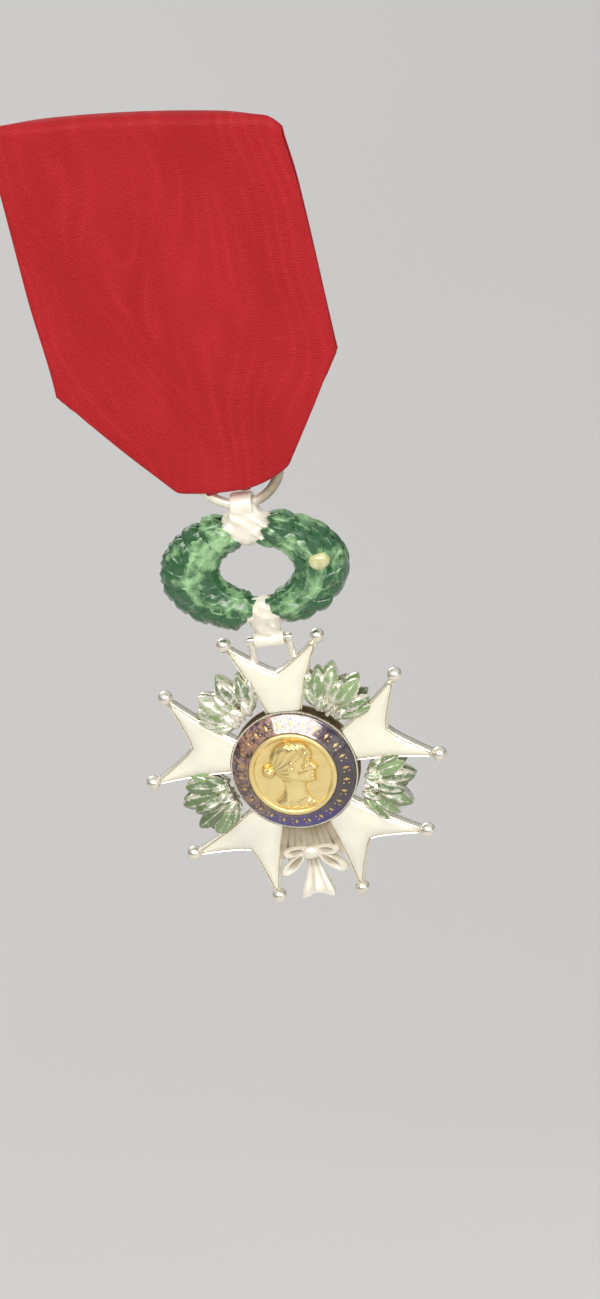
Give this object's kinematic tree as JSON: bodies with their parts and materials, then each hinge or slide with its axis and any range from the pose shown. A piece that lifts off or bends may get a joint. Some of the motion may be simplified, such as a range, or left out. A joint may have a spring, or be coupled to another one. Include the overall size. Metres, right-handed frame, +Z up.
{
  "type": "order medal",
  "caption": "Order badge: a white-enamelled star with a gold medallion under an oval green leaf wreath, hung by a ring from a folded red breast ribbon with a pin.",
  "frame": {"origin": "middle of the safety pin's rod behind the ribbon's top, where the medal is pinned on", "axes": "+Z up, +X to the right as seen from the front, the medal's front faces -Y; the pin's rod lies along X"},
  "size_m": [0.0422, 0.0095, 0.1123],
  "materials": {
    "moire_ribbon": "watered silk with fine cross ribs",
    "silver": "polished silver, a little worn",
    "gold": "polished gilt with a matt ground",
    "white_enamel": "opaque creamy white enamel",
    "blue_enamel": "translucent dark blue enamel",
    "green_enamel": "translucent green enamel on chased leaves",
    "garland_enamel": "thin grey-green enamel with silver showing through",
    "pale_berry": "pale yellow-green enamel"
  },
  "bodies": {
    "ribbon_body": {"ribbon": "moire_ribbon", "pin": "silver", "ring": "silver"},
    "wreath": {"wreath_frame": "silver", "wreath_berries": "pale_berry", "oak_leaves_front": "green_enamel", "laurel_leaves_front": "green_enamel", "oak_leaves_back": "green_enamel", "laurel_leaves_back": "green_enamel"},
    "star": {"star_frame": "silver", "bow": "silver", "head_relief": "gold", "collar_front": "silver", "blue_ring_front": "blue_enamel", "gold_disc_front": "gold", "arm_enamel_front_1": "white_enamel", "arm_enamel_front_2": "white_enamel", "arm_enamel_front_3": "white_enamel", "arm_enamel_front_4": "white_enamel", "arm_enamel_front_5": "white_enamel", "garland_front_1": "garland_enamel", "garland_front_2": "garland_enamel", "garland_front_3": "garland_enamel", "garland_front_4": "garland_enamel", "collar_back": "silver", "blue_ring_back": "blue_enamel", "gold_disc_back": "gold", "arm_enamel_back_1": "white_enamel", "arm_enamel_back_2": "white_enamel", "arm_enamel_back_3": "white_enamel", "arm_enamel_back_4": "white_enamel", "arm_enamel_back_5": "white_enamel", "garland_back_1": "garland_enamel", "garland_back_2": "garland_enamel", "garland_back_3": "garland_enamel", "garland_back_4": "garland_enamel"}
  },
  "joints": [
    {"name": "wreath_swing", "type": "hinge", "parent": "ribbon_body", "child": "wreath", "pos_m": [0, -0.00505, -0.0508], "axis": [1, 0, 0], "range_deg": [-90, 90]},
    {"name": "star_swing", "type": "hinge", "parent": "wreath", "child": "star", "pos_m": [0, -0.00505, -0.0699], "axis": [1, 0, 0], "range_deg": [-100, 100]}
  ]
}
